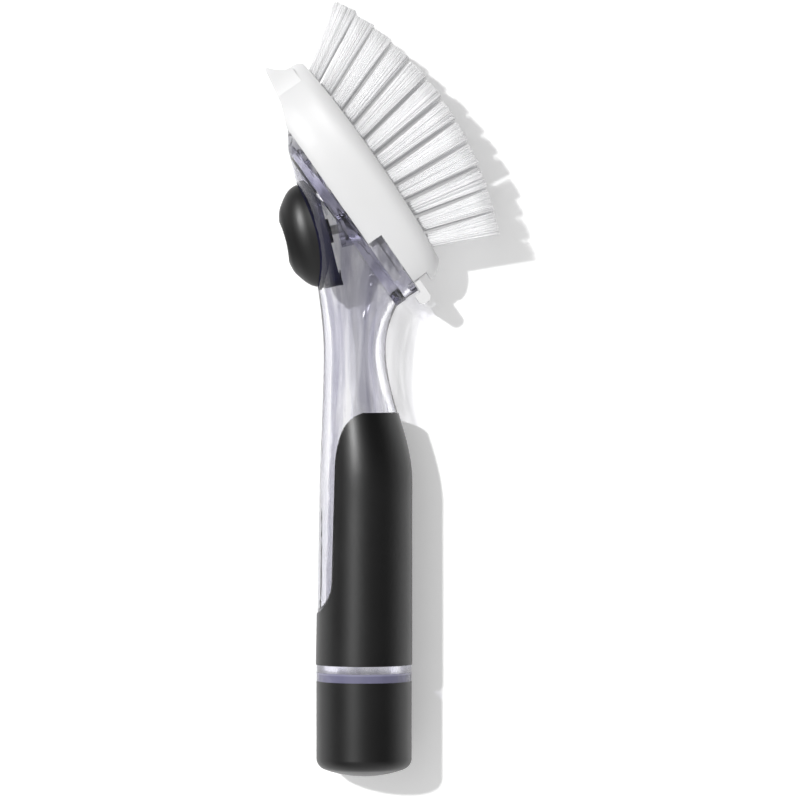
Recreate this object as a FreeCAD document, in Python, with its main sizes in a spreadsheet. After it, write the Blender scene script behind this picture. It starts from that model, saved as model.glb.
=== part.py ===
import FreeCAD, Part
import math
import os
import re
import Sketcher

Vector = FreeCAD.Vector
Placement = FreeCAD.Placement
Rotation = FreeCAD.Rotation

doc = FreeCAD.newDocument("dish_wand")
dims = doc.addObject("Spreadsheet::Sheet", "dims")

# Driving sizes, in millimetres and degrees
sizes = [
    # screw cap
    ("cap_radius", 16.3),
    ("cap_length", 32.6),
    ("cap_dome_radius", 40.0),
    ("cap_edge_round", 4.0),
    ("cap_skin", 2.0),
    ("cap_end_skin", 5.2),
    ("ring_height", 3.0),
    ("ring_gap", 0.1),
    ("liner_wall", 1.0),
    ("liner_floor", 2.2),
    ("bond_gap", 0.05),
    ("gasket_height", 1.8),
    ("gasket_width", 3.8),
    # filler neck and its thread
    ("neck_length", 17.6),
    ("neck_wall", 2.8),
    ("thread_lead", 6.0),
    ("thread_height", 0.75),
    ("thread_root", 2.2),
    ("thread_crest", 1.2),
    ("thread_gap", 0.15),
    ("thread_start", 2.2),
    ("neck_thread_turns", 1.5),
    ("liner_thread_turns", 0.9),
    # handle outline
    ("barrel_radius", 16.2),
    ("band_height", 2.5),
    ("barrel_length", 65.8),
    ("barrel_taper", 1.15),
    ("shoulder_length", 21.0),
    ("shoulder_front", 11.3),
    ("shoulder_back", 14.26),
    ("throat_length", 21.0),
    ("throat_front", 7.45),
    ("throat_back", 13.85),
    ("wall", 3.0),
    # flare from the throat to the platform
    ("flare_pace_front", 1.6),
    ("flare_pace_back", 0.35),
    ("flare_bend_front", 2.0),
    ("flare_bend_back", 1.55),
    # grip
    ("grip_skin", 1.4),
    ("grip_proud", 0.3),
    ("window_start", 17.2),
    ("window_end_rise", 11.3),
    ("window_end_round", 13.6),
    ("window_edge", 10.5),
    ("window_lean", 1.0),
    ("window_rise", 37.0),
    ("grip_top_front", 0.3),
    ("grip_top_rise", 20.4),
    ("grip_corner_edge", 7.35),
    ("grip_corner_drop", 6.8),
    ("grip_corner_round", 10.6),
    ("grip_side_round", 41.0),
    # head position and platform
    ("heel_front", 14.5),
    ("heel_rise", 16.9),
    ("head_angle", 35.0),
    ("platform_half", 35.5),
    ("platform_depth", 16.3),
    ("platform_thickness", 4.0),
    ("weld_gap", 0.05),
    ("platform_bevel_tip", 6.2),
    ("platform_bevel_side", 1.2),
    ("rim_length", 22.3),
    ("rim_height", 5.1),
    ("rim_wall", 2.6),
    ("rim_step", 0.3),
    ("lip_width", 1.2),
    ("lip_height", 1.9),
    ("slide_gap", 0.25),
    # button
    ("button_front", 18.8),
    ("button_rise", 38.7),
    ("button_angle", 14.0),
    ("button_half", 17.9),
    ("button_depth", 8.8),
    ("button_height", 8.7),
    ("dip_depth", 0.65),
    ("dip_round", 36.0),
    ("button_skirt", 3.4),
    ("button_travel", 2.5),
    ("button_gap", 0.2),
    ("socket_wall", 0.9),
    ("socket_floor", 1.2),
    ("stop_gap", 0.3),
    ("core_half", 11.4),
    ("core_depth", 6.1),
    ("core_thickness", 2.8),
    ("core_roof", 4.6),
    ("core_boss_radius", 3.2),
    ("core_boss_drop", 2.8),
    # valve
    ("stem_radius", 1.6),
    ("stem_gap", 0.05),
    ("stem_seat", 3.3),
    ("seal_height", 1.2),
    ("seal_radius", 3.0),
    ("seal_collar", 1.2),
    ("seat_depth", 12.0),
    ("outlet_radius", 3.2),
    ("seat_radius", 5.0),
    ("seat_boss_radius", 6.6),
    ("seat_boss_drop", 1.6),
    ("poppet_radius", 4.2),
    ("poppet_thickness", 1.0),
    ("poppet_seal_height", 0.8),
    ("spring_radius", 4.6),
    ("spring_wire", 0.9),
    # brush block
    ("block_heel", 0.4),
    ("block_tip", 88.0),
    ("block_widest", 43.0),
    ("block_half_width", 16.3),
    ("block_height", 19.0),
    ("crown_round", 465.0),
    ("rim_round", 5.0),
    ("heel_bluntness", 2.2),
    ("heel_round_run", 13.0),
    ("heel_round_rise", 9.6),
    ("tip_round_run", 6.5),
    ("tip_round_rise", 6.0),
    ("scraper_reach", 92.4),
    ("scraper_root", 5.4),
    ("scraper_rise", 6.5),
    ("scraper_climb", 6.8),
    ("scraper_round", 10.0),
    ("scraper_edge", 1.0),
    ("scraper_half", 20.4),
    ("scraper_half_width", 9.6),
    ("chin_start", 71.0),
    ("chin_run", 8.0),
    ("chin_rise", 3.2),
    ("cavity_height", 11.6),
    ("cavity_inset", 6.2),
    ("soap_hole_radius", 2.6),
    ("soap_tube_bore", 6.2),
    ("soap_tube_wall", 1.7),
    ("tube_gasket_height", 3.4),
    # latch tongue
    ("tab_pivot", 19.0),
    ("tab_pivot_height", 6.45),
    ("tab_root_radius", 1.3),
    ("tab_width", 12.0),
    ("tab_thickness", 2.1),
    ("tab_reach", 4.8),
    ("tab_hook_depth", 2.5),
    ("tab_gap", 0.3),
    ("tab_notch_height", 10.8),
    ("tab_root_wall", 2.6),
    # tufts
    ("tuft_first", 12.2),
    ("tuft_pitch", 6.2),
    ("tuft_across", 6.5),
    ("tuft_edge_margin", 5.4),
    ("tuft_hole_depth", 6.0),
    ("tuft_base_radius", 2.1),
    ("tuft_tip_radius", 3.4),
    ("tuft_gap", 0.05),
    ("tuft_fan_heel", 21.0),
    ("tuft_fan_tip", 30.5),
    ("tuft_lean", 9.6),
    ("brush_height", 48.9),
    ("brush_round", 122.6),
    ("brush_middle", 49.0),
    ("staple_height", 1.6),
    ("staple_width", 3.2),
    ("staple_thickness", 0.4),
]
tuft_rows = 12
outlet_row = 3

names = {alias for alias, number in sizes}
for row, (alias, number) in enumerate(sizes, start=1):
    dims.set("A%d" % row, alias)
    dims.set("B%d" % row, str(number))
    dims.setAlias("B%d" % row, alias)
doc.recompute()


# Helpers for sizes and expressions
def linked(text):
    return re.sub(r"[a-z_]+", lambda m: "dims." + m.group() if m.group() in names else m.group(), text)


def amount(text):
    return float(dims.evalExpression(linked(text)))


def bind(thing, prop, text):
    thing.setExpression(prop, linked(text))


# Frames: the barrel's axis is local z, the head's local x points to the tip and local z to the bristles,
# the button's local z points out of the handle
grip_rise = "cap_length + ring_height + ring_gap + band_height"
throat_rise = grip_rise + " + barrel_length + shoulder_length + throat_length"
head_turn = math.radians(amount("head_angle"))
head_up = Vector(math.cos(head_turn), math.sin(head_turn), 0)
head_along = Vector(-math.sin(head_turn), math.cos(head_turn), 0)
heel = Vector(amount("heel_front"), amount(throat_rise + " + heel_rise"), 0)
press_turn = math.radians(amount("button_angle"))
button_out = Vector(-math.cos(press_turn), -math.sin(press_turn), 0)
button_along = Vector(-math.sin(press_turn), math.cos(press_turn), 0)
button_base = Vector(-amount("button_front"), amount(throat_rise + " + button_rise"), 0)

barrel = Placement(Vector(), Rotation(Vector(1, 0, 0), -90))
head = Placement(heel, Rotation(head_along, Vector(0, 0, 1), head_up, "ZXY"))
button = Placement(button_base, Rotation(button_along, Vector(0, 0, -1), button_out, "ZXY"))


# Helpers for solids
def cylinder(name, frame, radius, low, high):
    solid = doc.addObject("Part::Cylinder", name)
    bind(solid, "Radius", radius)
    bind(solid, "Height", "(%s) - (%s)" % (high, low))
    solid.Placement = frame.multiply(Placement(Vector(0, 0, amount(low)), Rotation()))
    return solid


def oval(name, frame, along, half, depth, low, high):
    edge = doc.addObject("Part::Ellipse", name + "_edge")
    bind(edge, "MajorRadius", half)
    bind(edge, "MinorRadius", depth)
    edge.Placement = frame.multiply(Placement(Vector(amount(along), 0, amount(low)), Rotation()))
    solid = doc.addObject("Part::Extrusion", name)
    solid.Base = edge
    solid.DirMode = "Custom"
    solid.Dir = frame.Rotation.multVec(Vector(0, 0, 1))
    solid.Solid = True
    bind(solid, "LengthFwd", "(%s) - (%s)" % (high, low))
    return solid


def box(name, frame, along, across, up):
    solid = doc.addObject("Part::Box", name)
    for prop, pair in (("Length", along), ("Width", across), ("Height", up)):
        bind(solid, prop, "(%s) - (%s)" % (pair[1], pair[0]))
    corner = Vector(amount(along[0]), amount(across[0]), amount(up[0]))
    solid.Placement = frame.multiply(Placement(corner, Rotation()))
    return solid


def cut(name, base, *tools):
    result = doc.addObject("Part::Cut", name)
    result.Base = base
    result.Tool = tools[0] if len(tools) == 1 else group(name + "_tools", tools)
    return result


def fuse(name, *things):
    result = doc.addObject("Part::MultiFuse", name)
    result.Shapes = list(things)
    return result


def common(name, *things):
    result = doc.addObject("Part::MultiCommon", name)
    result.Shapes = list(things)
    return result


def group(name, things):
    result = doc.addObject("Part::Compound", name)
    result.Links = list(things)
    return result


def ring(name, frame, outer, inner, low, high):
    rim = cylinder(name + "_outer", frame, outer, low, high)
    hole = cylinder(name + "_inner", frame, inner, "(%s) - 1" % low, "(%s) + 1" % high)
    return cut(name, rim, hole)


def new_body(name):
    return doc.addObject("PartDesign::Body", name)


def new_sketch(body, name, role):
    sketch = body.newObject("Sketcher::SketchObject", name)
    plane = [item for item in body.Origin.OriginFeatures if item.Role == role][0]
    sketch.AttachmentSupport = (plane, [""])
    sketch.MapMode = "FlatFace"
    return sketch


# Draws a closed outline; a corner is (x, y), or (x, y, radius) where an arc leaves it,
# which bulges left if the radius is positive
def draw(sketch, corners):
    first = sketch.GeometryCount
    spots = [Vector(amount(corner[0]), amount(corner[1]), 0) for corner in corners]
    starts = []
    ends = []
    for index, corner in enumerate(corners):
        here = spots[index]
        there = spots[(index + 1) % len(spots)]
        if len(corner) == 2:
            sketch.addGeometry(Part.LineSegment(here, there))
            starts.append(1)
            ends.append(2)
            continue
        text = corner[2].lstrip("-")
        radius = amount(text)
        chord = there.sub(here)
        outward = Vector(-chord.y, chord.x, 0).normalize()
        clockwise = not corner[2].startswith("-")
        if not clockwise:
            outward = outward.negative()
        drop = math.sqrt(max(radius * radius - chord.Length * chord.Length / 4, 0.0))
        centre = here.add(there).multiply(0.5).sub(Vector(outward).multiply(drop))
        top = centre.add(Vector(outward).multiply(radius))
        arc = Part.Arc(there, top, here) if clockwise else Part.Arc(here, top, there)
        number = sketch.addGeometry(arc)
        starts.append(2 if clockwise else 1)
        ends.append(1 if clockwise else 2)
        limit = sketch.addConstraint(Sketcher.Constraint("Radius", number, radius))
        bind(sketch, "Constraints[%d]" % limit, text)
    count = len(corners)
    for index, corner in enumerate(corners):
        before = (index - 1) % count
        sketch.addConstraint(
            Sketcher.Constraint("Coincident", first + before, ends[before], first + index, starts[index])
        )
        for kind, axis, text, value in (
            ("DistanceX", -2, corner[0], spots[index].x),
            ("DistanceY", -1, corner[1], spots[index].y),
        ):
            if abs(value) < 1e-9:
                on_axis = Sketcher.Constraint("PointOnObject", first + index, starts[index], axis)
                sketch.addConstraint(on_axis)
                continue
            limit = sketch.addConstraint(
                Sketcher.Constraint(kind, -1, 1, first + index, starts[index], value)
            )
            bind(sketch, "Constraints[%d]" % limit, text)


def pad(body, name, role, corners, length):
    sketch = new_sketch(body, name + "_outline", role)
    draw(sketch, corners)
    feature = body.newObject("PartDesign::Pad", name)
    feature.Profile = sketch
    feature.Midplane = True
    bind(feature, "Length", length)
    doc.recompute()
    return feature


def revolve(body, name, corners):
    sketch = new_sketch(body, name + "_outline", "XY_Plane")
    draw(sketch, corners)
    feature = body.newObject("PartDesign::Revolution", name)
    feature.Profile = sketch
    feature.ReferenceAxis = (sketch, ["V_Axis"])
    feature.Angle = 360
    doc.recompute()
    return feature


def thread(body, name, corners, turns):
    sketch = new_sketch(body, name + "_outline", "XY_Plane")
    draw(sketch, corners)
    feature = body.newObject("PartDesign::AdditiveHelix", name)
    feature.Profile = sketch
    feature.ReferenceAxis = (sketch, ["V_Axis"])
    feature.Mode = 1
    bind(feature, "Pitch", "thread_lead")
    bind(feature, "Turns", turns)
    doc.recompute()
    return feature


nodes = []


def node(label, thing):
    thing.Label = label
    nodes.append(thing)


# Handle outline: one oval section at each height, from the band up to the platform
band_low = "cap_length + ring_height + ring_gap"
barrel_low = band_low + " + band_height"
barrel_high = barrel_low + " + barrel_length"
shoulder_mid = barrel_high + " + shoulder_length * 0.5"
shoulder_high = barrel_high + " + shoulder_length"
throat_mid = shoulder_high + " + throat_length * 0.5"
throat_high = shoulder_high + " + throat_length"
barrel_back = "barrel_radius - barrel_taper"


def level(rise, front, back):
    half = "((%s) + (%s)) * 0.5" % (front, back)
    return "((%s) - (%s)) * 0.5" % (front, back), rise, half, half, "0"


barrel_steps = ["0", "0.14", "0.28", "0.42", "0.56", "0.7", "0.85"]
sections = [level(band_low, "barrel_radius", "barrel_radius")]
for share in barrel_steps:
    rise = barrel_low + " + barrel_length * " + share
    sections.append(level(rise, "barrel_radius", "barrel_radius - barrel_taper * " + share))
shoulder_mid_front = "barrel_radius * 0.38 + shoulder_front * 0.72"
shoulder_mid_back = "(%s + shoulder_back) * 0.5" % barrel_back
throat_mid_front = "shoulder_front * 0.3 + throat_front * 0.7"
throat_mid_back = "(shoulder_back + throat_back * 3) * 0.25"
sections += [
    level(barrel_high, "barrel_radius - 0.1", barrel_back),
    level(shoulder_mid, shoulder_mid_front, shoulder_mid_back),
    level(shoulder_high, "shoulder_front", "shoulder_back"),
    level(throat_mid, throat_mid_front, throat_mid_back),
    level(throat_high, "throat_front", "throat_back"),
]
plate_half = "platform_half - platform_bevel_tip * 0.5"
plate_depth = "platform_depth - platform_bevel_side"


# A section of the flare: its front and back points run from the throat to the platform's heel and tip
def flare(share):
    plate_heel = head.multVec(Vector(0, 0, -amount("platform_thickness")))
    plate_tip = head.multVec(Vector(2 * amount(plate_half), 0, -amount("platform_thickness")))
    throat = amount(throat_high)
    ahead = share * (amount("flare_pace_front") + (1 - amount("flare_pace_front")) * share)
    behind = share * (amount("flare_pace_back") + (1 - amount("flare_pace_back")) * share)
    reach = amount("throat_front")
    front = Vector(
        reach + (plate_heel.x - reach) * ahead ** amount("flare_bend_front"),
        throat + (plate_heel.y - throat) * ahead,
        0,
    )
    reach = -amount("throat_back")
    back = Vector(
        reach + (plate_tip.x - reach) * behind ** amount("flare_bend_back"),
        throat + (plate_tip.y - throat) * behind,
        0,
    )
    middle = front.add(back).multiply(0.5)
    half = front.sub(back).Length / 2
    swell = behind * behind * (3 - 2 * behind)
    depth = "(throat_front + throat_back) * 0.5 * %.9f + (%s) * %.9f" % (1 - swell, plate_depth, swell)
    tilt = math.degrees(math.atan2(back.y - front.y, front.x - back.x))
    return "%.9f" % middle.x, "%.9f" % middle.y, "%.9f" % half, depth, "%.9f" % tilt


sections += [flare(share) for share in (0.12, 0.24, 0.36, 0.48, 0.6, 0.7, 0.8, 0.88, 0.95)]


def handle_loft(name, inset, floor):
    ovals = []
    for number, (across, rise, half, depth, tilt) in enumerate(sections[1:] if floor else sections):
        if number == 0 and floor:
            rise = floor
        edge = doc.addObject("Part::Ellipse", "%s_section_%d" % (name, number))
        bind(edge, "MajorRadius", "%s - (%s)" % (half, inset))
        bind(edge, "MinorRadius", "%s - (%s)" % (depth, inset))
        turn = Rotation(Vector(0, 0, 1), -amount(tilt)).multiply(barrel.Rotation)
        edge.Placement = Placement(Vector(amount(across), amount(rise), 0), turn)
        bind(edge, "Placement.Base.x", across)
        bind(edge, "Placement.Base.y", rise)
        ovals.append(edge)
    edge = doc.addObject("Part::Ellipse", name + "_section_top")
    bind(edge, "MajorRadius", "%s - (%s)" % (plate_half, inset))
    bind(edge, "MinorRadius", "%s - (%s)" % (plate_depth, inset))
    middle = Vector(amount(plate_half), 0, -amount("platform_thickness + weld_gap"))
    edge.Placement = head.multiply(Placement(middle, Rotation(Vector(0, 0, 1), 180)))
    ovals.append(edge)
    doc.recompute()
    wires = []
    for edge in ovals:
        curve = edge.Shape.Edges[0]
        step = (curve.LastParameter - curve.FirstParameter) / 24
        spline = Part.BSplineCurve()
        spots = [curve.valueAt(curve.FirstParameter + step * k) for k in range(24)]
        spline.interpolate(spots, PeriodicFlag=True)
        wires.append(Part.Wire([spline.toShape()]))
    loft = doc.addObject("Part::Feature", name)
    loft.Shape = Part.makeLoft(wires, True, False)
    return loft


outer_form = handle_loft("outer_form", "0", "")
grip_form_outer = handle_loft("grip_form_outer", "-grip_proud", "")
grip_form_inner = handle_loft("grip_form_inner", "grip_skin", "")
reservoir_form = handle_loft("reservoir_form", "wall", barrel_low + " + 1")

# Grip: the part of the handle's skin inside the side outline that leaves the window clear
grip_zone = new_body("grip_zone")
window_low = barrel_low + " + window_start"
window_mid = window_low + " + window_end_rise"
window_high = window_mid + " + window_rise"
pad(
    grip_zone,
    "grip_zone_pad",
    "XY_Plane",
    [
        ("-barrel_radius * 2", barrel_low),
        ("barrel_radius * 2", barrel_low),
        ("barrel_radius * 2", window_high + " + grip_top_rise"),
        ("-grip_top_front", window_high + " + grip_top_rise", "-grip_corner_round"),
        ("-grip_corner_edge", window_high + " + grip_top_rise - grip_corner_drop", "-grip_side_round"),
        ("-window_edge + window_lean", window_high),
        ("-window_edge", window_mid, "window_end_round"),
        ("-barrel_radius - grip_proud", window_low),
        ("-barrel_radius * 2", window_low),
    ],
    "barrel_radius * 4",
)
grip_solid = cut("grip_solid", common("grip_skin_form", grip_form_outer, grip_zone), grip_form_inner)
node("grip_sleeve", group("grip_sleeve", [grip_solid]))

# Filler neck with its outside thread
neck_radius = "cap_radius - cap_skin - bond_gap - liner_wall - thread_height - thread_gap"
neck_low = band_low + " - neck_length"
bore_radius = neck_radius + " - neck_wall"
filler_neck = new_body("filler_neck")
revolve(
    filler_neck,
    "neck_wall_form",
    [
        (bore_radius, neck_low),
        (neck_radius, neck_low),
        (neck_radius, band_low + " + 2"),
        (bore_radius, band_low + " + 2"),
    ],
)
ridge_low = neck_low + " + thread_start"
ridge_side = "(thread_root - thread_crest) * 0.5"
thread(
    filler_neck,
    "neck_thread",
    [
        (neck_radius + " - 0.3", ridge_low),
        (neck_radius, ridge_low),
        (neck_radius + " + thread_height", ridge_low + " + " + ridge_side),
        (neck_radius + " + thread_height", ridge_low + " + " + ridge_side + " + thread_crest"),
        (neck_radius, ridge_low + " + thread_root"),
        (neck_radius + " - 0.3", ridge_low + " + thread_root"),
    ],
    "neck_thread_turns",
)

# Handle shell: clear body less the grip, the reservoir, the filler bore and the opening for the button
socket_half = "button_half + button_gap + socket_wall"
socket_depth = "button_depth + button_gap + socket_wall"
socket_low = "-button_skirt - button_travel - stop_gap - socket_floor"
bore_floor = "-button_skirt - button_travel - stop_gap"
filler_bore = cylinder("filler_bore", barrel, bore_radius, neck_low + " - 1", barrel_low + " + 4")
button_opening = oval(
    "button_opening", button, "0", socket_half, socket_depth, socket_low, "button_height * 2"
)
clear_body = fuse("clear_body", cut("clear_skin", outer_form, grip_solid), filler_neck)
clear_body = cut("clear_hollow", clear_body, reservoir_form)
clear_body = cut("clear_bored", clear_body, filler_bore)
node("handle_shell", cut("handle_shell", clear_body, button_opening))

# Screw cap: soft skin, clear threaded liner and gasket
liner_radius = "cap_radius - cap_skin - bond_gap"
liner_bore = "cap_radius - cap_skin - bond_gap - liner_wall"
seat_high = neck_low + " - gasket_height"
cap_grip = new_body("cap_grip")
cap_edge = "cap_dome_radius - sqrt(cap_dome_radius * cap_dome_radius - cap_radius * cap_radius)"
cap_form = revolve(
    cap_grip,
    "cap_grip_form",
    [
        ("0", "0", "-cap_dome_radius"),
        ("cap_radius", cap_edge),
        ("cap_radius", "cap_length"),
        ("cap_radius - cap_skin", "cap_length"),
        ("cap_radius - cap_skin", "cap_end_skin"),
        ("0", "cap_end_skin"),
    ],
)
cap_round = cap_grip.newObject("PartDesign::Fillet", "cap_round")
rims = []
for number, edge in enumerate(cap_form.Shape.Edges, start=1):
    span = edge.BoundBox
    if abs(span.YMax - amount(cap_edge)) < 0.01 and abs(span.YMin - amount(cap_edge)) < 0.01:
        rims.append("Edge%d" % number)
cap_round.Base = (cap_form, rims)
bind(cap_round, "Radius", "cap_edge_round")
doc.recompute()
node("cap_grip", cap_grip)

cap_liner = new_body("cap_liner")
revolve(
    cap_liner,
    "cap_liner_form",
    [
        ("0", seat_high + " - liner_floor"),
        (liner_bore, seat_high + " - liner_floor"),
        (liner_bore, "cap_end_skin"),
        (liner_radius, "cap_end_skin"),
        (liner_radius, "cap_length"),
        ("cap_radius", "cap_length"),
        ("cap_radius", "cap_length + ring_height"),
        (liner_bore, "cap_length + ring_height"),
        (liner_bore, seat_high),
        ("0", seat_high),
    ],
)
nut_low = ridge_low + " + (thread_root + thread_crest) * 0.5 + thread_gap"
thread(
    cap_liner,
    "liner_thread",
    [
        (liner_bore + " + 0.3", nut_low),
        (liner_bore, nut_low),
        (liner_bore + " - thread_height", nut_low + " + " + ridge_side),
        (liner_bore + " - thread_height", nut_low + " + " + ridge_side + " + thread_crest"),
        (liner_bore, nut_low + " + thread_root"),
        (liner_bore + " + 0.3", nut_low + " + thread_root"),
    ],
    "liner_thread_turns",
)
node("cap_liner", cap_liner)

gasket_outer = neck_radius + " + 0.2"
node(
    "cap_gasket",
    ring("cap_gasket", barrel, gasket_outer, "%s - gasket_width" % gasket_outer, seat_high, neck_low),
)

# Button socket: an oval cup flush with the handle's back, kept below the platform
under_plate = "-platform_thickness - 0.2"
above_plate = box("above_plate", head, ("-60", "150"), ("-60", "60"), (under_plate, "60"))
above_floor = box(
    "above_floor", head, ("-60", "150"), ("-60", "60"), (under_plate + " - socket_floor", "60")
)
above_skirt = box(
    "above_skirt",
    head,
    ("-60", "150"),
    ("-60", "60"),
    (under_plate + " - socket_floor - stop_gap - button_travel", "60"),
)
socket_solid = oval(
    "socket_solid", button, "0", socket_half, socket_depth, socket_low, "button_height * 2"
)
socket_collar = cylinder(
    "socket_collar", button, "seal_radius + 1.2", socket_low + " - seal_collar", socket_low + " + 0.5"
)
socket_body = common("socket_body", socket_solid, outer_form)
socket_body = fuse("socket_with_collar", cut("socket_trimmed", socket_body, above_plate), socket_collar)
socket_bore = oval(
    "socket_bore",
    button,
    "0",
    "button_half + button_gap",
    "button_depth + button_gap",
    bore_floor,
    "button_height * 2",
)
stem_hole = cylinder("stem_hole", button, "stem_radius + stem_gap", "-30", "5")
seal_pocket = cylinder(
    "seal_pocket", button, "seal_radius + 0.03", socket_low + " - seal_collar - 1", socket_low
)
socket_bore_trimmed = cut("socket_bore_trimmed", socket_bore, above_floor)
node("button_socket", cut("button_socket", socket_body, socket_bore_trimmed, stem_hole, seal_pocket))
stem_seal = ring(
    "stem_seal", button, "seal_radius", "stem_radius + 0.02", socket_low + " - seal_height", socket_low
)
node("stem_seal", stem_seal)

# Button: soft dome with a stiff core
dome_levels = [
    ("-button_skirt", "1"),
    ("-button_skirt * 0.66", "1"),
    ("-button_skirt * 0.33", "1"),
    ("0", "1"),
    ("button_height * 0.41", "0.915"),
    ("button_height * 0.765", "0.71"),
    ("button_height * 0.93", "0.56"),
    ("button_height", "0.43"),
]
dome_edges = []
for number, (rise, share) in enumerate(dome_levels):
    edge = doc.addObject("Part::Ellipse", "dome_section_%d" % number)
    bind(edge, "MajorRadius", "button_half * " + share)
    bind(edge, "MinorRadius", "button_depth * " + share)
    edge.Placement = button.multiply(Placement(Vector(0, 0, amount(rise)), Rotation()))
    dome_edges.append(edge)
dome = doc.addObject("Part::Loft", "button_dome")
dome.Sections = dome_edges
dome.Solid = True
dip_middle = Vector(0, 0, amount("button_height - dip_depth + dip_round"))
dip_axis = button.multiply(Placement(dip_middle, Rotation(Vector(1, 0, 0), 90)))
thumb_dip = cylinder("thumb_dip", dip_axis, "dip_round", "-30", "30")
button_solid = cut("button_solid", dome, above_skirt, thumb_dip)
core_hollow = oval(
    "core_hollow",
    button,
    "0",
    "core_half + bond_gap",
    "core_depth + bond_gap",
    "-button_skirt - 5",
    "core_roof",
)
node("button_cap", cut("button_cap", button_solid, core_hollow))

core_low = "core_roof - core_thickness"
core_plate = oval("core_plate", button, "0", "core_half", "core_depth", core_low, "core_roof")
core_boss = cylinder(
    "core_boss", button, "core_boss_radius", core_low + " - core_boss_drop", core_low + " + 0.5"
)
stem_high = core_low + " - core_boss_drop + stem_seat"
core_hole = cylinder(
    "core_hole", button, "stem_radius + stem_gap", core_low + " - core_boss_drop - 1", stem_high
)
node("button_core", cut("button_core", fuse("core_solid", core_plate, core_boss), core_hole))

# Valve: stem, poppet and its soft face
poppet_low = "-seat_depth - poppet_seal_height - poppet_thickness"
poppet_high = "-seat_depth - poppet_seal_height"
stem_low = poppet_high + " - poppet_thickness * 0.4"
node("valve_stem", cylinder("valve_stem", button, "stem_radius", stem_low, stem_high))
poppet_disc = cylinder("poppet_disc", button, "poppet_radius", poppet_low, poppet_high)
poppet_hole = cylinder("poppet_hole", button, "stem_radius + stem_gap", stem_low, poppet_high + " + 1")
node("valve_poppet", cut("valve_poppet", poppet_disc, poppet_hole))
poppet_seal = ring(
    "poppet_seal", button, "poppet_radius + 0.2", "stem_radius + stem_gap", poppet_high, "-seat_depth"
)
node("poppet_seal", poppet_seal)

# Return spring: half-turn arcs on an even helix, swept by a round wire
wire = amount("spring_wire")
spring_low = amount(bore_floor) + wire / 2
spring_high = amount(core_low) - wire / 2
coil = amount("spring_radius")
half_turns = 8
climb = (spring_high - spring_low) / half_turns


def coil_point(turn):
    angle = math.pi * turn
    return Vector(coil * math.cos(angle), coil * math.sin(angle), spring_low + climb * turn)


arcs = []
for half_turn in range(half_turns):
    low_end = coil_point(half_turn)
    between = coil_point(half_turn + 0.5)
    high_end = coil_point(half_turn + 1)
    arcs.append(Part.Arc(low_end, between, high_end).toShape())
path = Part.Wire(arcs)
start = path.Edges[0]
along_wire = start.tangentAt(start.FirstParameter)
section = Part.Wire(Part.Circle(start.valueAt(start.FirstParameter), along_wire, wire / 2).toShape())
dots = path.discretize(241)
least = min(a.distanceToPoint(b) for number, a in enumerate(dots) for b in dots[number + 40 :]) - wire
print("least gap of the spring to itself, mm:", round(least, 3))
spring = doc.addObject("Part::Feature", "return_spring")
spring.Shape = path.makePipeShell([section], True, False)
spring.Placement = button
node("return_spring", spring)

# Platform: bevelled plate with the heel rim, its inward lips and the valve seat
plate_low = doc.addObject("Part::Ellipse", "plate_low")
bind(plate_low, "MajorRadius", plate_half)
bind(plate_low, "MinorRadius", plate_depth)
plate_low.Placement = head.multiply(
    Placement(Vector(amount(plate_half), 0, -amount("platform_thickness")), Rotation())
)
plate_high = doc.addObject("Part::Ellipse", "plate_high")
bind(plate_high, "MajorRadius", "platform_half")
bind(plate_high, "MinorRadius", "platform_depth")
plate_high.Placement = head.multiply(Placement(Vector(amount("platform_half"), 0, 0), Rotation()))
plate = doc.addObject("Part::Loft", "plate")
plate.Sections = [plate_low, plate_high]
plate.Solid = True
plate.Ruled = True


def heel_oval(name, inset, low, high):
    along = "platform_half - (%s)" % inset
    across = "platform_depth - (%s)" % inset
    return oval(name, head, "platform_half", along, across, low, high)


past_rim = box("past_rim", head, ("rim_length", "150"), ("-60", "60"), ("-1", "60"))
rim_outer = heel_oval("rim_outer", "rim_step", "-0.5", "rim_height")
rim_inner = heel_oval("rim_inner", "rim_wall", "-2", "rim_height + 2")
rim = cut("heel_rim", rim_outer, rim_inner, past_rim)
lip_outer = heel_oval("lip_outer", "rim_wall * 0.5", "rim_height - lip_height", "rim_height")
lip_inner = heel_oval("lip_inner", "rim_wall + lip_width", "-2", "rim_height + 2")
lip = cut("heel_lip", lip_outer, lip_inner, past_rim)
seat_boss = cylinder(
    "seat_boss", button, "seat_boss_radius", "-seat_depth - 9", "-seat_depth + seat_boss_drop"
)
above_top = box("above_top", head, ("-60", "150"), ("-60", "60"), ("-0.5", "60"))
seat_boss_trimmed = cut("seat_boss_trimmed", seat_boss, above_top)
platform_body = fuse("platform_body", plate, rim, lip, seat_boss_trimmed)
outlet_bore = cylinder("outlet_bore", button, "outlet_radius", "-40", "0")
seat_bore = cylinder("seat_bore", button, "seat_radius", "-40", "-seat_depth")
node("head_platform", cut("head_platform", platform_body, fuse("outlet_form", outlet_bore, seat_bore)))

# Brush block: egg outlines lofted upward with rounded edges, crowned on top, with the scraper at its tip
half_width = amount("block_half_width")
widest = amount("block_widest")
block_high = amount("block_height")


def eased(rise, start, run):
    share = min(max((rise - start) / (block_high + 0.4 - start), 0.0), 0.985)
    return run * (1 - math.sqrt(1 - share * share))


def egg_half(along):
    if along < widest:
        blunt = amount("heel_bluntness")
        share = (widest - along) / (widest - amount("block_heel"))
    else:
        blunt = 2.0
        share = (along - widest) / (amount("block_tip") - widest)
    return half_width * max(1 - share ** blunt, 0.0) ** (1 / blunt)


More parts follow.
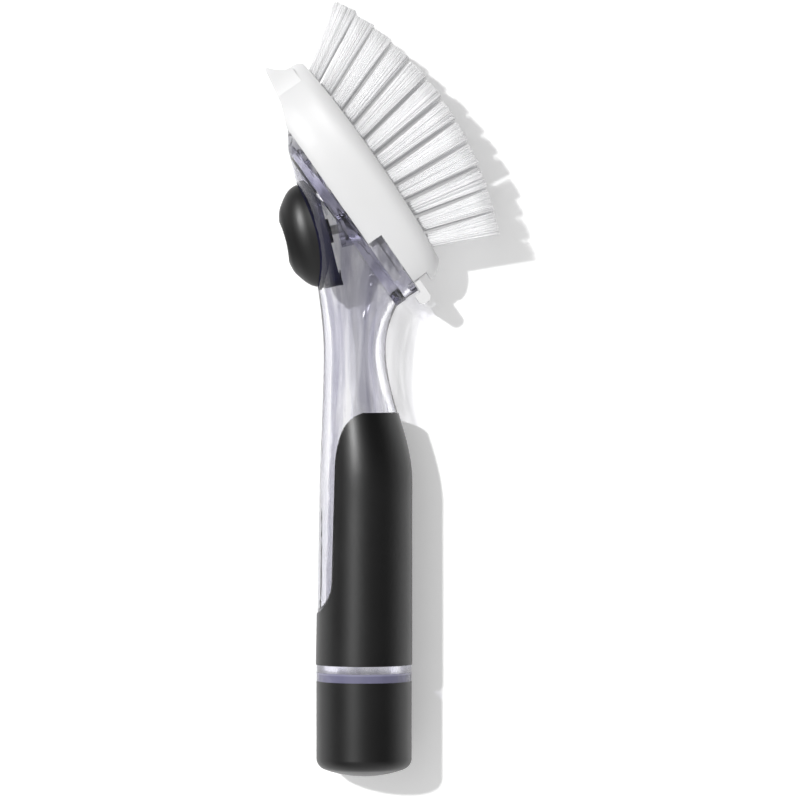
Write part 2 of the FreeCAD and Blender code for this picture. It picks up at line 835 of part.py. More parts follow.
def egg_wire(rise):
    back = widest - amount("block_heel")
    back -= eased(rise, block_high - amount("heel_round_rise"), amount("heel_round_run"))
    ahead = amount("block_tip") - widest
    ahead -= eased(rise, block_high - amount("tip_round_rise"), amount("tip_round_run"))
    side = half_width - eased(rise, block_high - amount("rim_round"), amount("rim_round"))
    spots = []
    for step in range(40):
        turn = math.pi * 2 * (step + 0.5) / 40
        power = 1.0 if math.cos(turn) > 0 else 2 / amount("heel_bluntness")
        reach = ahead if math.cos(turn) > 0 else back
        along = math.copysign(abs(math.cos(turn)) ** power, math.cos(turn))
        across = math.copysign(abs(math.sin(turn)) ** power, math.sin(turn))
        spots.append(Vector(widest + reach * along, side * across, rise))
    curve = Part.BSplineCurve()
    curve.interpolate(spots, PeriodicFlag=True)
    return Part.Wire([curve.toShape()])


block = doc.addObject("Part::Feature", "block_loft")
levels = [0.0, 0.25, 0.45, 0.6, 0.74, 0.85, 0.93, 0.98, 1.02]
block.Shape = Part.makeLoft([egg_wire(block_high * share) for share in levels], True, False)
block.Placement = head
crown_axis = head.multiply(
    Placement(
        Vector(amount("block_widest + 4"), 0, amount("block_height - crown_round")),
        Rotation(Vector(1, 0, 0), 90),
    )
)
crown_form = cylinder("crown_form", crown_axis, "crown_round", "-60", "60")
block_crowned = common("block_crowned", block, crown_form)
scraper_body = new_body("scraper_body")
scraper_body.Placement = head
pad(
    scraper_body,
    "scraper_side",
    "XZ_Plane",
    [
        ("chin_start + 2", "scraper_rise - scraper_edge - chin_rise"),
        ("scraper_reach", "scraper_rise - scraper_edge - chin_rise"),
        ("scraper_reach", "scraper_rise", "scraper_round"),
        ("scraper_reach - scraper_root", "scraper_rise + scraper_climb"),
        ("chin_start + 2", "scraper_rise + scraper_climb"),
    ],
    "block_half_width * 2",
)
scraper_plan = oval(
    "scraper_plan",
    head,
    "scraper_reach - scraper_half",
    "scraper_half",
    "scraper_half_width",
    "-5",
    "block_height * 2",
)
scraper = common("scraper", scraper_body, scraper_plan)
chin_body = new_body("chin_body")
chin_body.Placement = head
chin_end = "chin_start + chin_run"
pad(
    chin_body,
    "chin_side",
    "XZ_Plane",
    [
        ("chin_start", "-5"),
        ("scraper_reach + 5", "-5"),
        ("scraper_reach + 5", "scraper_rise - scraper_edge"),
        ("scraper_reach", "scraper_rise - scraper_edge"),
        (chin_end, "chin_rise"),
        ("chin_start", "-0.02"),
    ],
    "block_half_width * 3",
)
block_whole = cut("block_whole", fuse("block_with_scraper", block_crowned, scraper), chin_body)

# Underside of the block: hollow, rim and lip channels, latch notch, soap passage
past_channel = box(
    "past_channel",
    head,
    ("-20", "rim_length + slide_gap"),
    ("-60", "60"),
    ("-1", "rim_height + slide_gap"),
)
rim_keep = heel_oval("rim_keep", "rim_wall + slide_gap", "-3", "rim_height + 3")
rim_channel = cut("rim_channel", past_channel, rim_keep)
past_groove = box(
    "past_groove",
    head,
    ("-20", "rim_length + slide_gap"),
    ("-60", "60"),
    ("rim_height - lip_height - slide_gap", "rim_height + slide_gap"),
)
lip_keep = heel_oval("lip_keep", "rim_wall + lip_width + slide_gap", "-3", "rim_height + 3")
lip_channel = cut("lip_channel", past_groove, lip_keep)
hollow = heel_oval("block_hollow", "cavity_inset", "-1", "cavity_height")
tab_side = "tab_width * 0.5 + 1"
notch_end = "tab_pivot - tab_root_radius - 1"
tab_notch = box(
    "tab_notch", head, ("-20", notch_end), ("-(%s)" % tab_side, tab_side), ("-1", "tab_notch_height")
)
outlet_spot = head.inverse().multVec(button.multVec(Vector(0, 0, -amount("seat_depth + 4"))))
outlet = head.multiply(Placement(Vector(outlet_spot.x, 0, 0), Rotation()))
tube_outer = "soap_tube_bore + soap_tube_wall"
tube = cylinder("soap_tube", outlet, tube_outer, "tube_gasket_height", "cavity_height + 1")
tube_bore = cylinder("soap_tube_hole", outlet, "soap_tube_bore", "-1", "cavity_height")
soap_hole = cylinder("soap_hole", outlet, "soap_hole_radius", "-1", "block_height * 2")
root_wall = box(
    "tab_root_wall_form",
    head,
    ("tab_pivot + tab_gap", "tab_pivot + tab_gap + tab_root_wall"),
    ("-(%s)" % tab_side, tab_side),
    ("tab_pivot_height - tab_root_radius - 0.8", "cavity_height + 1"),
)
pivot = head.multiply(
    Placement(
        Vector(amount("tab_pivot"), 0, amount("tab_pivot_height")), Rotation(Vector(1, 0, 0), 90)
    )
)
root_groove = cylinder("root_groove", pivot, "tab_root_radius + tuft_gap", "-tab_width", "tab_width")

# Tufts: a row across at each pitch, fanned along the head and leaning outward, cut to the brush arc
crown_middle = amount("block_widest + 4")


def crown(along):
    return block_high - (along - crown_middle) ** 2 / (2 * amount("crown_round"))


hole_depth = amount("tuft_hole_depth")
arc_middle = Vector(amount("brush_middle"), 0, amount("brush_height - brush_round"))
bores = []
staples = []
rows = []
for row in range(tuft_rows):
    along = amount("tuft_first") + amount("tuft_pitch") * row
    spread = amount("tuft_fan_heel + tuft_fan_tip") * row / (tuft_rows - 1) - amount("tuft_fan_heel")
    room = max(egg_half(along) - amount("tuft_edge_margin"), 0.1)
    count = int(2 * room / amount("tuft_across")) + 1
    cones = []
    holes = []
    slots = []
    for column in range(count):
        across = (column - (count - 1) / 2) * amount("tuft_across")
        if row == outlet_row and abs(across) < amount("soap_hole_radius + tuft_base_radius"):
            continue
        lean = amount("tuft_lean") * across / half_width
        way = Vector(math.tan(math.radians(spread)), math.tan(math.radians(lean)), 1).normalize()
        face = Vector(along, across, crown(along))
        reach = face.sub(arc_middle)
        flat = way.x * reach.x + way.z * reach.z
        square = way.x ** 2 + way.z ** 2
        gap = reach.x ** 2 + reach.z ** 2 - amount("brush_round") ** 2
        length = (-flat + math.sqrt(flat ** 2 - square * gap)) / square
        foot = head.multiply(
            Placement(face.sub(Vector(way).multiply(hole_depth)), Rotation(Vector(0, 0, 1), way))
        )
        name = "tuft_%d_%d" % (row + 1, column + 1)
        cone = doc.addObject("Part::Cone", name)
        bind(cone, "Radius1", "tuft_base_radius")
        bind(cone, "Radius2", "tuft_tip_radius")
        cone.Height = hole_depth + length
        cone.Placement = foot
        cones.append(cone)
        slope = amount("tuft_tip_radius - tuft_base_radius") / (hole_depth + length)
        bore = doc.addObject("Part::Cone", name + "_bore")
        bind(bore, "Radius1", "tuft_base_radius + tuft_gap")
        bore.Radius2 = amount("tuft_base_radius + tuft_gap") + slope * (hole_depth + 6)
        bore.Height = hole_depth + 6
        bore.Placement = foot.multiply(Placement(Vector(), Rotation(Vector(0, 0, 1), 37)))
        holes.append(bore)
        half = "staple_width * 0.5"
        thin = "staple_thickness * 0.5"
        staple = box(
            name + "_staple", foot, ("-(%s)" % thin, thin), ("-(%s)" % half, half), ("0", "staple_height")
        )
        staples.append(staple)
        slot = box(
            name + "_slot",
            foot,
            ("-(%s) - tuft_gap" % thin, "%s + tuft_gap" % thin),
            ("-(%s) - tuft_gap" % half, "%s + tuft_gap" % half),
            ("-1", "staple_height + tuft_gap"),
        )
        slots.append(slot)
    label = "tuft_row_%02d" % (row + 1)
    bores.append(group(label + "_holes", holes))
    rows.append((label, cut(label, group(label + "_cones", cones), group(label + "_slots", slots))))

block_open = cut("block_open", block_whole, rim_channel, lip_channel, hollow, tab_notch)
block_built = fuse("block_built", block_open, tube, root_wall)
block_bored = cut("block_bored", block_built, fuse("soap_passage", tube_bore, soap_hole), root_groove)
for number, row_holes in enumerate(bores, start=1):
    last = number == len(bores)
    block_bored = cut("head_block" if last else "block_bored_%d" % number, block_bored, row_holes)
node("head_block", block_bored)
for label, thing in rows:
    node(label, thing)
node("tuft_staples", group("tuft_staples", staples))
outlet_gasket = ring(
    "outlet_gasket", outlet, tube_outer + " - 0.1", "soap_tube_bore + 0.1", "0", "tube_gasket_height"
)
node("outlet_gasket", outlet_gasket)

# Latch tongue: side outline padded across, with the round root that it flexes about
tongue = new_body("tongue")
tongue.Placement = head
tab_low = "rim_height + tab_gap"
tab_high = "rim_height + tab_gap + tab_thickness"
pad(
    tongue,
    "tongue_pad",
    "XZ_Plane",
    [
        ("tab_pivot", tab_low),
        ("tab_pivot", tab_high),
        ("-tab_reach + 1.0", tab_high),
        ("-tab_reach", tab_high + " - 1.2"),
        ("-tab_reach", tab_low + " - tab_hook_depth + 1.2"),
        ("-tab_reach + 1.2", tab_low + " - tab_hook_depth"),
        ("-tab_reach + 4.0", tab_low + " - tab_hook_depth"),
        ("-tab_reach + 4.0", tab_low),
    ],
    "tab_width",
)
root = cylinder("tab_root", pivot, "tab_root_radius", "-tab_width * 0.5", "tab_width * 0.5")
node("release_tab", fuse("release_tab", tongue, root))
doc.recompute()

# Resting placement: the wand lies on its side, tilted until cap and head both touch the table
lowest_rise = amount("cap_edge_round") + 1.0
head_rise = heel.y + amount("platform_half") * head_along.y
tilt = math.atan2(amount("platform_depth - cap_radius"), head_rise - lowest_rise)
lie = Placement(Vector(), Rotation(Vector(1, 0, 0), math.degrees(tilt)))
whole = FreeCAD.BoundBox()
for thing in nodes:
    shape = thing.Shape.copy()
    shape.Placement = lie.multiply(shape.Placement)
    whole.add(shape.optimalBoundingBox(False))
lie.Base = Vector(-(whole.XMin + whole.XMax) / 2, -(whole.YMin + whole.YMax) / 2, -whole.ZMin)
for thing in nodes:
    thing.Placement = lie.multiply(thing.Placement)
doc.recompute()

# Checks and export
faults = []
for thing in doc.Objects:
    if "Invalid" in thing.State or "Error" in thing.State:
        faults.append("%s: %s" % (thing.Name, thing.State))
for thing in nodes:
    if thing.Shape.isNull() or not thing.Shape.isValid():
        faults.append("%s: bad shape" % thing.Label)
if faults:
    raise RuntimeError("; ".join(faults))
os.makedirs("parts", exist_ok=True)
for thing in nodes:
    thing.Shape.exportStep("parts/%s.step" % thing.Label)
    print(thing.Label, len(thing.Shape.Solids), round(thing.Shape.Volume), end="; ")
print()
print("size", whole)
print("lie", lie)
print("heel", lie.multVec(heel), "button", lie.multVec(button_base))
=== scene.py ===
import math
import random
import bmesh
import bpy
from mathutils import Matrix, Vector


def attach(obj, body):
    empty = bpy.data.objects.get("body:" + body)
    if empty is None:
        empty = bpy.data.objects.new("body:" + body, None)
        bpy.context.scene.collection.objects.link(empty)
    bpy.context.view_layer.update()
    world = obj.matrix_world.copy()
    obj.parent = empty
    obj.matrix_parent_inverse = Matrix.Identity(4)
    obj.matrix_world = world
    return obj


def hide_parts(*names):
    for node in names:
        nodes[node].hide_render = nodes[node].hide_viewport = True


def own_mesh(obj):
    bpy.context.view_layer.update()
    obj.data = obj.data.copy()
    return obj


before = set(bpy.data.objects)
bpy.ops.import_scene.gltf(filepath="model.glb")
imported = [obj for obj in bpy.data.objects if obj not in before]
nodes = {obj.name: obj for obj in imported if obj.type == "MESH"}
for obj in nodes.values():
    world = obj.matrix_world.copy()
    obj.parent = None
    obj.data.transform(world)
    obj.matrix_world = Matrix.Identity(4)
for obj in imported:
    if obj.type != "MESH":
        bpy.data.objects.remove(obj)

scene = bpy.context.scene
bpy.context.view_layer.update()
print("frame loaded,", len(nodes), "nodes")


# camera straight above the wand, as it lies on its side
cameraSet = {
    "centre": (0.00620, -0.00359),      # point of the floor plan in the middle of the picture
    "midHeight": 0.0165,                # height of the wand's middle plane
    "distance": 1.50,
    "field": 0.2736,                    # width seen at the middle plane
    "sensor": 36.0,
    "clip": (0.05, 20.0),
}


def addCamera(s):
    data = bpy.data.cameras.new("lookingDown")
    data.sensor_width = s["sensor"]
    data.lens = s["sensor"] * s["distance"] / s["field"]
    data.clip_start, data.clip_end = s["clip"]
    cam = bpy.data.objects.new("lookingDown", data)
    cam.location = (*s["centre"], s["midHeight"] + s["distance"])
    scene.collection.objects.link(cam)
    scene.camera = cam


addCamera(cameraSet)
print("camera set")


# small helpers for node trees
def link(tree, source, target):
    tree.links.new(source, target)


# a socket takes either a link or a plain value
def feed(tree, given, target):
    if isinstance(given, bpy.types.NodeSocket):
        link(tree, given, target)
    else:
        target.default_value = given


def newFinish(name):
    mat = bpy.data.materials.new(name)
    mat.use_nodes = True
    tree = mat.node_tree
    tree.nodes.clear()
    out = tree.nodes.new("ShaderNodeOutputMaterial")
    skin = tree.nodes.new("ShaderNodeBsdfPrincipled")
    link(tree, skin.outputs["BSDF"], out.inputs["Surface"])
    return mat, tree, skin, out


def newMath(tree, operation, *given):
    node = tree.nodes.new("ShaderNodeMath")
    node.operation = operation
    for value, target in zip(given, node.inputs):
        feed(tree, value, target)
    return node.outputs["Value"]


def newRange(tree, value, fromSpan=(0.0, 1.0), toSpan=(0.0, 1.0), easing="LINEAR"):
    span = tree.nodes.new("ShaderNodeMapRange")
    span.interpolation_type = easing
    span.inputs["From Min"].default_value, span.inputs["From Max"].default_value = fromSpan
    span.inputs["To Min"].default_value, span.inputs["To Max"].default_value = toSpan
    link(tree, value, span.inputs["Value"])
    return span.outputs["Result"]


def newColourMix(tree, factor, low, high):
    mix = tree.nodes.new("ShaderNodeMix")
    mix.data_type = "RGBA"
    link(tree, factor, mix.inputs["Factor"])
    for given, label in ((low, "A"), (high, "B")):
        feed(tree, (*given, 1.0) if isinstance(given, tuple) else given, mix.inputs[label])
    return mix.outputs["Result"]


def addBump(tree, height, skin, strength, distance):
    bump = tree.nodes.new("ShaderNodeBump")
    bump.inputs["Strength"].default_value = strength
    bump.inputs["Distance"].default_value = distance
    link(tree, height, bump.inputs["Height"])
    link(tree, bump.outputs["Normal"], skin.inputs["Normal"])


# for the rays that the factor picks, the surface only dims what passes
def letThrough(tree, skin, out, factor, colour=(1.0, 1.0, 1.0, 1.0)):
    through = tree.nodes.new("ShaderNodeBsdfTransparent")
    feed(tree, colour, through.inputs["Color"])
    mix = tree.nodes.new("ShaderNodeMixShader")
    link(tree, factor, mix.inputs["Fac"])
    link(tree, skin.outputs["BSDF"], mix.inputs[1])
    link(tree, through.outputs["BSDF"], mix.inputs[2])
    link(tree, mix.outputs["Shader"], out.inputs["Surface"])


# moulded grain: a fine spark-eroded texture with specks in it, and a broad patchiness
grainSet = {
    "takes": {"Grain Scale": 2500.0, "Patch Scale": 60.0, "Grain Share": 0.5},
    "gives": ("Height", "Patch"),
    "fineDetail": 3.0,
    "fineRough": 0.6,
    "broadDetail": 4.0,
    "patchSpan": (0.30, 0.70),
    "speckSpan": (0.0, 0.55),
    "depth": 0.00005,           # metres, where a finish gives no other
}


def makeMouldGrain(s):
    group = bpy.data.node_groups.new("mouldGrain", "ShaderNodeTree")
    for label, value in s["takes"].items():
        sock = group.interface.new_socket(name=label, in_out="INPUT", socket_type="NodeSocketFloat")
        sock.default_value = value
    for label in s["gives"]:
        group.interface.new_socket(name=label, in_out="OUTPUT", socket_type="NodeSocketFloat")
    take = group.nodes.new("NodeGroupInput")
    give = group.nodes.new("NodeGroupOutput")
    coord = group.nodes.new("ShaderNodeTexCoord")
    fine = group.nodes.new("ShaderNodeTexNoise")
    fine.inputs["Detail"].default_value = s["fineDetail"]
    fine.inputs["Roughness"].default_value = s["fineRough"]
    broad = group.nodes.new("ShaderNodeTexNoise")
    broad.inputs["Detail"].default_value = s["broadDetail"]
    speck = group.nodes.new("ShaderNodeTexVoronoi")
    for tex, label in ((fine, "Grain Scale"), (broad, "Patch Scale"), (speck, "Grain Scale")):
        link(group, coord.outputs["Object"], tex.inputs["Vector"])
        link(group, take.outputs[label], tex.inputs["Scale"])
    blend = group.nodes.new("ShaderNodeMix")
    link(group, take.outputs["Grain Share"], blend.inputs["Factor"])
    link(group, fine.outputs["Fac"], blend.inputs["A"])
    link(group, newRange(group, speck.outputs["Distance"], s["speckSpan"], (1.0, 0.0)), blend.inputs["B"])
    link(group, blend.outputs["Result"], give.inputs["Height"])
    link(group, newRange(group, broad.outputs["Fac"], s["patchSpan"]), give.inputs["Patch"])
    return group


mouldGrain = makeMouldGrain(grainSet)


def addGrain(tree, s):
    node = tree.nodes.new("ShaderNodeGroup")
    node.node_tree = mouldGrain
    node.inputs["Grain Scale"].default_value = s["grain"]
    node.inputs["Patch Scale"].default_value = s["patch"]
    node.inputs["Grain Share"].default_value = s["share"]
    return node


# one entry for each opaque finish; the two metals are drawn wire
opaqueFinishes = {
    "softTouchBlack": {
        "low": (0.0028, 0.0028, 0.0029), "high": (0.0045, 0.0045, 0.0047), "rough": (0.355, 0.405),
        "grain": 2600.0, "patch": 45.0, "share": 0.35, "bump": 0.24, "shine": 0.48},
    "satinWhite": {
        "low": (0.75, 0.75, 0.75), "high": (0.78, 0.78, 0.785), "rough": (0.30, 0.40),
        "grain": 1500.0, "patch": 30.0, "share": 0.2, "bump": 0.06, "shine": 0.5},
    "blackMoulding": {
        "low": (0.006, 0.0055, 0.022), "high": (0.009, 0.0085, 0.032), "rough": (0.55, 0.65),
        "grain": 1800.0, "patch": 50.0, "share": 0.3, "bump": 0.12, "shine": 0.12},
    "naturalMoulding": {
        "low": (0.70, 0.70, 0.68), "high": (0.76, 0.76, 0.74), "rough": (0.36, 0.46),
        "grain": 1600.0, "patch": 60.0, "share": 0.2, "bump": 0.08, "shine": 0.5},
    "greySilicone": {
        "low": (0.20, 0.20, 0.21), "high": (0.25, 0.25, 0.26), "rough": (0.50, 0.62),
        "grain": 2200.0, "patch": 80.0, "share": 0.4, "bump": 0.15, "shine": 0.4},
    "springSteel": {
        "low": (0.50, 0.50, 0.51), "high": (0.62, 0.62, 0.63), "rough": (0.22, 0.34),
        "grain": 3000.0, "patch": 400.0, "share": 0.2, "bump": 0.1, "shine": 0.5,
        "depth": 0.00003, "metal": 1.0},
    "stapleSteel": {
        "low": (0.55, 0.55, 0.55), "high": (0.66, 0.66, 0.66), "rough": (0.28, 0.40),
        "grain": 3000.0, "patch": 400.0, "share": 0.2, "bump": 0.1, "shine": 0.5,
        "depth": 0.00003, "metal": 1.0},
}


def makeOpaque(name, s):
    mat, tree, skin, _ = newFinish(name)
    grain = addGrain(tree, s)
    patch = grain.outputs["Patch"]
    link(tree, newColourMix(tree, patch, s["low"], s["high"]), skin.inputs["Base Color"])
    link(tree, newRange(tree, patch, toSpan=s["rough"]), skin.inputs["Roughness"])
    addBump(tree, grain.outputs["Height"], skin, s["bump"], s.get("depth", grainSet["depth"]))
    skin.inputs["Specular IOR Level"].default_value = s["shine"]
    skin.inputs["Metallic"].default_value = s.get("metal", 0.0)
    return mat


finish = {name: makeOpaque(name, s) for name, s in opaqueFinishes.items()}


# clear moulding with a violet cast, which deepens where the light runs a long way inside it; faint flow
# lines run along the handle as bumps, and the same noise paints streaks of shade into the wall's tint and
# streaks into the light that reaches the table
clearSet = {
    "ior": 1.50,
    "rough": (0.01, 0.04),
    "grain": 900.0, "patch": 70.0, "share": 0.0,
    # painted shade: the wall's tint darkens to this in streaks along the handle
    "lowTintAndStreakShade": (0.65, 0.645, 0.715),
    "highTint": (1.0, 1.0, 1.0),
    "edgePaintedShade": (0.20, 0.195, 0.26),    # painted shade at the edges, where the wall is seen along its length
    "edgeSpan": (0.28, 0.92),
    "castColour": (0.48, 0.46, 0.66),
    "flow": (150.0, 9.0, 150.0),        # lines to the metre across, along and through the handle, for the flow-line bumps and the painted shade streaks
    "flowDetail": 2.0,
    "paintedStreakSpan": (0.43, 0.51),
    "flowBump": 0.5,
    "flowDepth": 0.0007,
    "collar": (-0.0953, 0.0019),        # middle and half width of the satin ring next to the cap
    "collarRough": 0.22,
    "collarPaintedGlow": (0.075, 0.075, 0.079),        # painted glow: emission that lightens the ring
    # painted caustics: the light let through to the table varies in streaks between these
    "shadowLow": (0.62, 0.62, 0.625),
    "shadowHigh": (1.0, 1.0, 1.0),
}

# how deep the cast is, how much is clear, and the body's own tint where it is partly milky
clearKinds = {
    "clearMoulding": {"density": 16.0, "clear": 1.0},
    "plateMoulding": {"density": 36.0, "clear": 1.0},
    "tintedMoulding": {"density": 120.0, "clear": 0.45, "bodyTint": (0.27, 0.265, 0.40)},
}


def makeClear(name, s, kind):
    mat, tree, skin, out = newFinish(name)
    skin.inputs["IOR"].default_value = s["ior"]
    skin.inputs["Transmission Weight"].default_value = kind["clear"]
    coord = tree.nodes.new("ShaderNodeTexCoord")

    # the satin ring, with a painted glow
    split = tree.nodes.new("ShaderNodeSeparateXYZ")
    link(tree, coord.outputs["Object"], split.inputs["Vector"])
    collar = newMath(tree, "COMPARE", split.outputs["Y"], *s["collar"])
    ring = newRange(tree, collar, toSpan=(0.0, s["collarRough"]))
    wall = newRange(tree, addGrain(tree, s).outputs["Patch"], toSpan=s["rough"])
    link(tree, newMath(tree, "MAXIMUM", ring, wall), skin.inputs["Roughness"])
    # painted glow: the ring emits a faint light of its own
    link(tree, newColourMix(tree, collar, (0.0, 0.0, 0.0), s["collarPaintedGlow"]), skin.inputs["Emission Color"])
    skin.inputs["Emission Strength"].default_value = 1.0

    # flow-line bumps, painted shade streaks in the wall, and painted shade at the edges
    stretch = tree.nodes.new("ShaderNodeMapping")
    stretch.inputs["Scale"].default_value = s["flow"]
    lines = tree.nodes.new("ShaderNodeTexNoise")
    lines.inputs["Scale"].default_value = 1.0
    lines.inputs["Detail"].default_value = s["flowDetail"]
    link(tree, coord.outputs["Object"], stretch.inputs["Vector"])
    link(tree, stretch.outputs["Vector"], lines.inputs["Vector"])
    streaks = newRange(tree, lines.outputs["Fac"], s["paintedStreakSpan"])
    lowTintAndStreakShade, highTint = kind.get("bodyTint", s["lowTintAndStreakShade"]), kind.get("bodyTint", s["highTint"])
    # painted shade: streaks darken the wall's tint along the handle; the tinted body keeps one tint
    tintAndStreakShade = newColourMix(tree, streaks, lowTintAndStreakShade, highTint)
    # painted shade: the base colour darkens towards the edges as the wall turns away from view
    facing = tree.nodes.new("ShaderNodeLayerWeight")
    edge = newRange(tree, facing.outputs["Facing"], s["edgeSpan"])
    link(tree, newColourMix(tree, edge, tintAndStreakShade, s["edgePaintedShade"]), skin.inputs["Base Color"])
    addBump(tree, lines.outputs["Fac"], skin, s["flowBump"], s["flowDepth"])

    # cast inside, and painted caustics: streaks in the light that reaches the table
    cast = tree.nodes.new("ShaderNodeVolumeAbsorption")
    cast.inputs["Color"].default_value = (*s["castColour"], 1.0)
    cast.inputs["Density"].default_value = kind["density"]
    link(tree, cast.outputs["Volume"], out.inputs["Volume"])
    path = tree.nodes.new("ShaderNodeLightPath")
    passing = newMath(tree, "MAXIMUM", path.outputs["Is Shadow Ray"], path.outputs["Is Diffuse Ray"])
    letThrough(tree, skin, out, passing, newColourMix(tree, streaks, s["shadowLow"], s["shadowHigh"]))
    return mat


for name, kind in clearKinds.items():
    finish[name] = makeClear(name, clearSet, kind)


# nylon: every filament keeps its own shade in the attribute strand, lets light through to the next
# and glows a little with painted light, emission that stands in for the light it carries along
nylonSet = {
    "low": (0.74, 0.74, 0.748),
    "high": (0.82, 0.82, 0.828),
    "rough": (0.36, 0.48),
    "grain": 4000.0, "patch": 900.0, "share": 0.2, "bump": 0.1, "depth": 0.00004,
    "passed": 0.86,             # share of the light that one side of a filament lets through
    "paintedGlow": 0.10,
    "milky": 1.0,
    "milkyDepth": 0.0005,
}


def makeNylon(s):
    mat, tree, skin, out = newFinish("brushNylon")
    strand = tree.nodes.new("ShaderNodeAttribute")
    strand.attribute_name = "strand"
    shade = newColourMix(tree, strand.outputs["Fac"], s["low"], s["high"])
    link(tree, shade, skin.inputs["Base Color"])
    link(tree, shade, skin.inputs["Emission Color"])
    link(tree, newRange(tree, strand.outputs["Fac"], toSpan=s["rough"]), skin.inputs["Roughness"])
    addBump(tree, addGrain(tree, s).outputs["Patch"], skin, s["bump"], s["depth"])
    # painted glow: emission in the filaments' own shade
    skin.inputs["Emission Strength"].default_value = s["paintedGlow"]
    skin.inputs["Subsurface Weight"].default_value = s["milky"]
    skin.inputs["Subsurface Radius"].default_value = (1.0, 1.0, 1.0)
    skin.inputs["Subsurface Scale"].default_value = s["milkyDepth"]
    path = tree.nodes.new("ShaderNodeLightPath")
    letThrough(tree, skin, out, newMath(tree, "MULTIPLY", path.outputs["Is Shadow Ray"], s["passed"]))
    return mat


finish["brushNylon"] = makeNylon(nylonSet)
print("finishes made:", ", ".join(finish))


# what each moulded node is made of
nodeFinish = {
    "softTouchBlack": ["grip_sleeve", "cap_grip", "button_cap"],
    "clearMoulding": ["handle_shell"],
    "plateMoulding": ["head_platform"],
    "tintedMoulding": ["cap_liner"],
    "blackMoulding": ["button_socket"],
    "satinWhite": ["head_block", "release_tab"],
    "naturalMoulding": ["button_core", "valve_stem", "valve_poppet"],
    "greySilicone": ["stem_seal", "poppet_seal", "cap_gasket", "outlet_gasket"],
    "stapleSteel": ["tuft_staples"],
}
for look, names in nodeFinish.items():
    for name in names:
        for place in nodes[name].material_slots:
            place.material = finish[look]
print("moulded pieces finished")


# the brush head's own frame in mm: along the sole from the heel, across it, and up into the bristles;
# the sole leans 35 degrees from the handle, and the last column is the heel's place
headFrame = Matrix((
    (-0.573576, 0.0, 0.819152, 8.3932),
    (0.819152, 0.0, 0.573576, 30.7511),
    (0.0, 1.0, 0.0, 16.5),
    (0.0, 0.0, 0.0, 1.0),
))

# outline and crown of the brush block, mm
blockSet = {
    "halfWidth": 16.3,
    "widestAt": 43.0,
    "heelEnd": (42.6, 2.2),     # reach from the widest place, and how blunt that end is
    "tipEnd": (45.0, 2.0),
    "crownAt": 47.0,
    "crownHeight": 19.0,
    "crownFall": 930.0,         # twice the crown's radius
}

tuftSet = {
    "rows": 12,
    "firstRow": 12.2,           # mm along the sole
    "rowPitch": 6.2,
    "pitch": 6.5,               # mm across
    "edge": 5.4,                # mm from the outer holes to the block's edge
    "outletRow": 3,             # the middle of this row is left free for the outlet
    "outletClear": 4.7,
    "fanFrom": -21.0,           # degrees, first row
    "fanSpan": 51.5,
    "lean": 9.6,                # degrees at the block's edge
    "cutCentre": (49.0, -73.7),         # middle of the arc that the tips are cut to, along and up
    "cutRadius": 122.6,
    "baseRadius": 2.35,
    "tipRadii": (4.0, 4.0, 3.9, 3.9, 3.8, 3.8, 3.8, 3.7, 3.6, 3.5, 3.9, 4.3),       # from the heel
    "flarePower": 1.25,
    "sunk": 2.0,                # mm of each filament inside its hole
    "filaments": 120,
    "filamentRadius": 0.20,
    "filamentSides": 6,
    "filamentRings": (0.45, 0.8),
    "spiral": 2.39996,          # radians from one filament to the next
    "unsteady": 0.25,
    "ragged": 0.55,             # mm by which cut ends differ
    "overlong": 0.15,           # share of that by which some stand out
    "stray": 0.13,              # mm by which ends wander sideways
    "sideLimit": 16.35,         # mm, where the table stops the outer filaments
    "seed": 41,
}


def halfWidthAt(along, block):
    away = block["widestAt"] - along
    reach, blunt = block["heelEnd"] if away > 0.0 else block["tipEnd"]
    return block["halfWidth"] * max(1.0 - (abs(away) / reach) ** blunt, 0.0) ** (1.0 / blunt)


# foot, direction and length of every tuft in a row
def tuftAxes(row, s, block):
    along = s["firstRow"] + s["rowPitch"] * row
    fan = math.radians(s["fanFrom"] + s["fanSpan"] * row / (s["rows"] - 1))
    room = max(halfWidthAt(along, block) - s["edge"], 0.1)
    count = int(2.0 * room / s["pitch"]) + 1
    for k in range(count):
        across = (k - (count - 1) / 2.0) * s["pitch"]
        if row == s["outletRow"] and abs(across) < s["outletClear"]:
            continue
        lean = math.radians(s["lean"] * across / block["halfWidth"])
        way = Vector((math.tan(fan), math.tan(lean), 1.0)).normalized()
        height = block["crownHeight"] - (along - block["crownAt"]) ** 2 / block["crownFall"]
        foot = Vector((along, across, height))
        spot = Vector((foot.x - s["cutCentre"][0], foot.z - s["cutCentre"][1]))
        flat = Vector((way.x, way.z))
        a, b, c = flat.dot(flat), spot.dot(flat), spot.dot(spot) - s["cutRadius"] ** 2
        yield foot, way, (-b + math.sqrt(b * b - a * c)) / a


# one filament as a stick of length 1 with rings between its ends
def filamentStick(s):
    bm = bmesh.new()
    bmesh.ops.create_cone(bm, cap_ends=True, segments=s["filamentSides"], radius1=s["filamentRadius"],
                          radius2=s["filamentRadius"], depth=1.0)
    bmesh.ops.translate(bm, verts=bm.verts, vec=(0.0, 0.0, 0.5))
    for height in s["filamentRings"]:
        bmesh.ops.bisect_plane(bm, geom=bm.verts[:] + bm.edges[:] + bm.faces[:],
                               plane_co=(0.0, 0.0, height), plane_no=(0.0, 0.0, 1.0))
    for face in bm.faces:
        face.smooth = len(face.verts) == 4
    stick = bpy.data.meshes.new("filamentStick")
    bm.to_mesh(stick)
    bm.free()
    return stick


